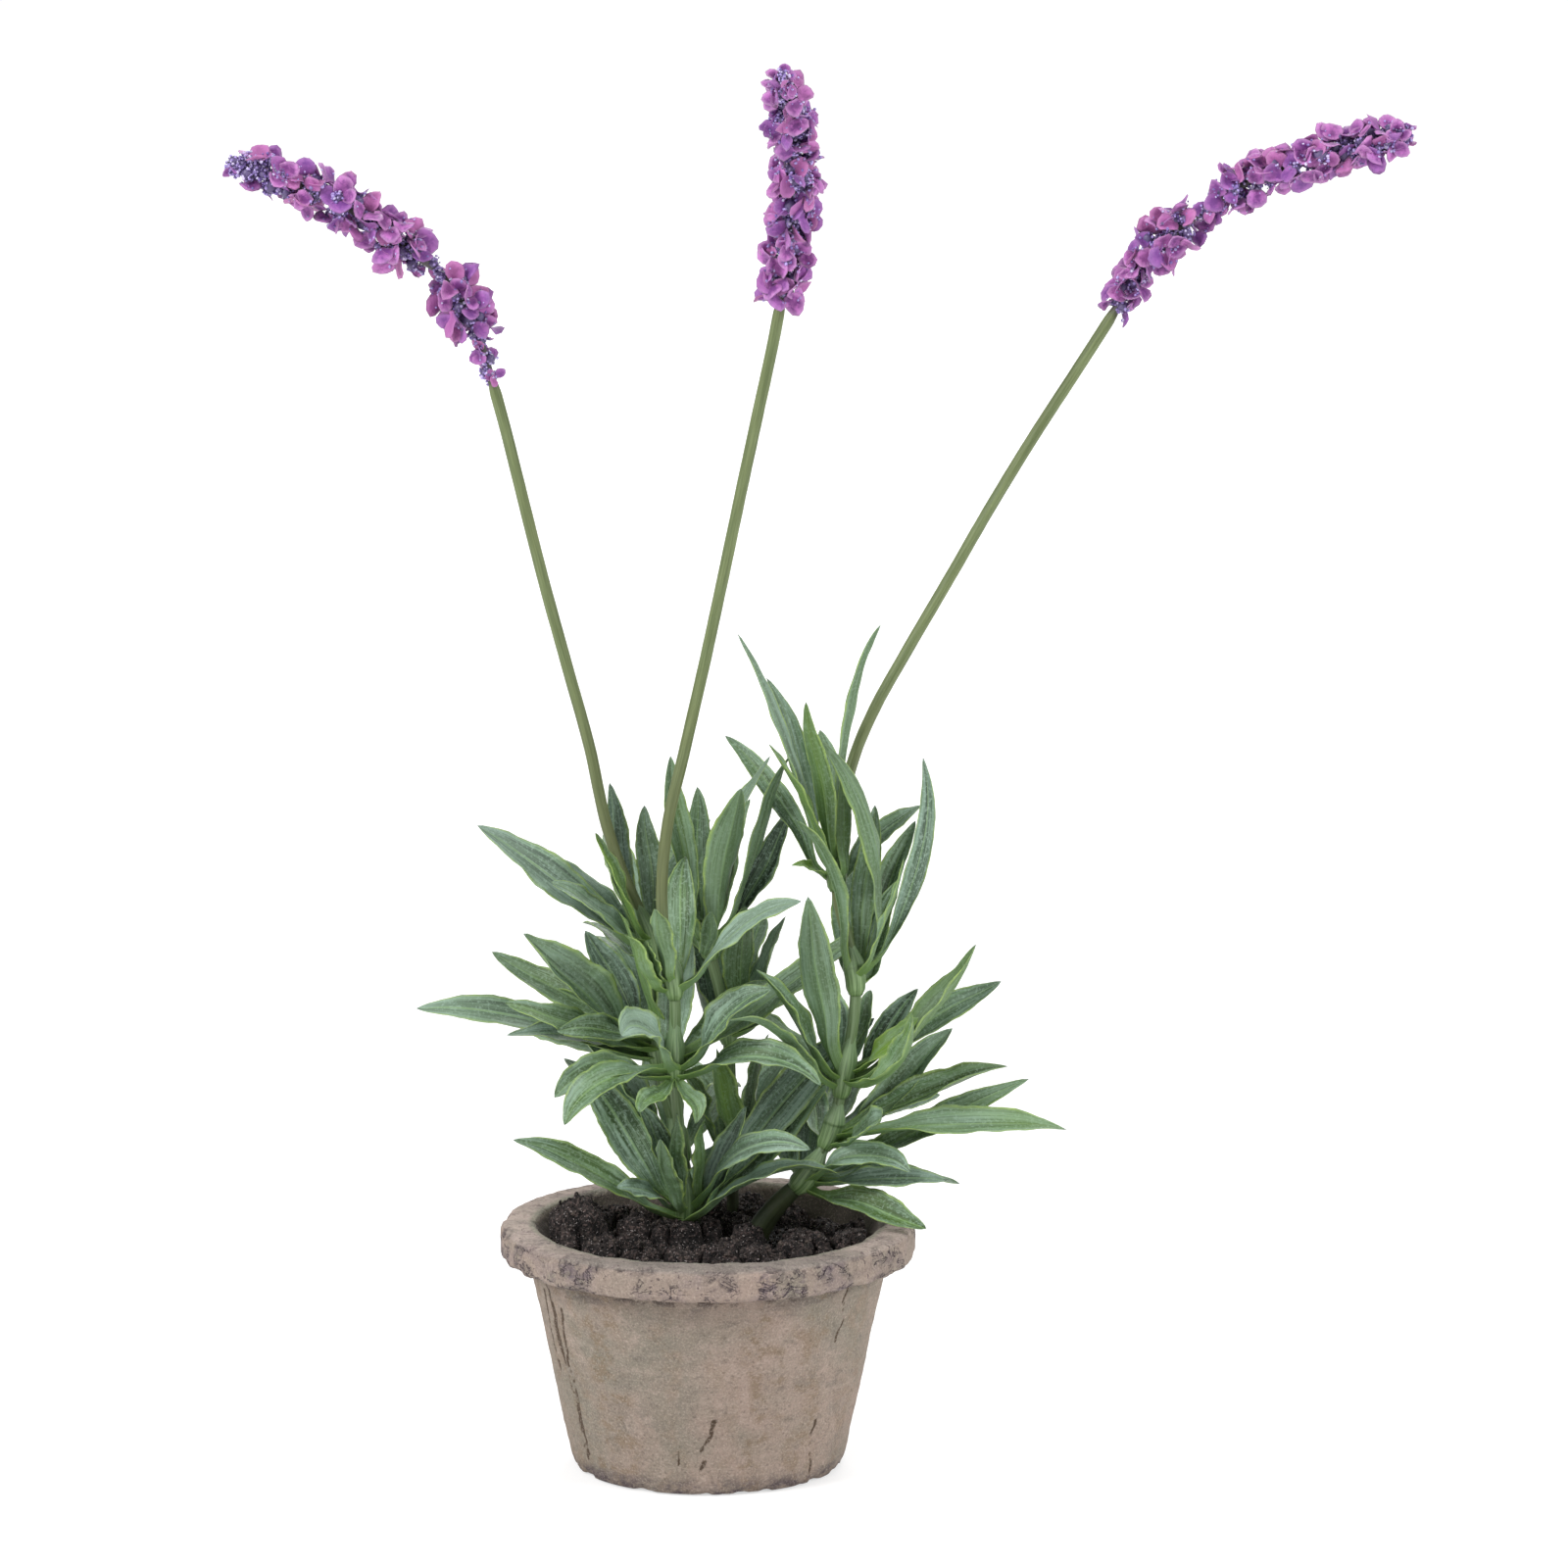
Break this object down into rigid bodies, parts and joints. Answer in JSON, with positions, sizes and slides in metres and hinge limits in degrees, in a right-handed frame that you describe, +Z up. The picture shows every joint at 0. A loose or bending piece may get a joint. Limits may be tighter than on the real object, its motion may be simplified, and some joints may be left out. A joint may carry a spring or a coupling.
{
  "type": "potted lavender",
  "caption": "Potted lavender: narrow leaves in whorls on curved stems, violet flower spikes on long stalks, standing in soil in a weathered clay pot with a thick rim.",
  "frame": {"origin": "centre of the pot's flat underside, on the surface it stands on", "axes": "+Z up through the pot's mouth, -Y toward the front, +X toward the right flower spike"},
  "size_m": [0.3403, 0.121, 0.4099],
  "materials": {
    "pot": "matte",
    "soil": "matte",
    "stems": "matte",
    "leaves": "matte",
    "petals": "matte"
  },
  "bodies": {
    "root": {"florets_front_1": "petals", "florets_front_2": "petals", "florets_front_3": "petals", "florets_front_4": "petals", "florets_front_5": "petals", "florets_left_1": "petals", "florets_left_2": "petals", "florets_left_3": "petals", "florets_left_4": "petals", "florets_left_5": "petals", "florets_left_6": "petals", "florets_right_1": "petals", "florets_right_2": "petals", "florets_right_3": "petals", "florets_right_4": "petals", "florets_right_5": "petals", "florets_right_6": "petals", "leaves_back_1": "leaves", "leaves_back_2": "leaves", "leaves_back_3": "leaves", "leaves_front_1": "leaves", "leaves_front_2": "leaves", "leaves_front_3": "leaves", "leaves_left_1": "leaves", "leaves_left_2": "leaves", "leaves_left_3": "leaves", "leaves_right_1": "leaves", "leaves_right_2": "leaves", "leaves_right_3": "leaves", "leaves_right_4": "leaves", "leaves_right_5": "leaves", "pot": "pot", "soil": "soil", "stem_back": "stems", "stem_front": "stems", "stem_left": "stems", "stem_right": "stems"}
  },
  "joints": []
}
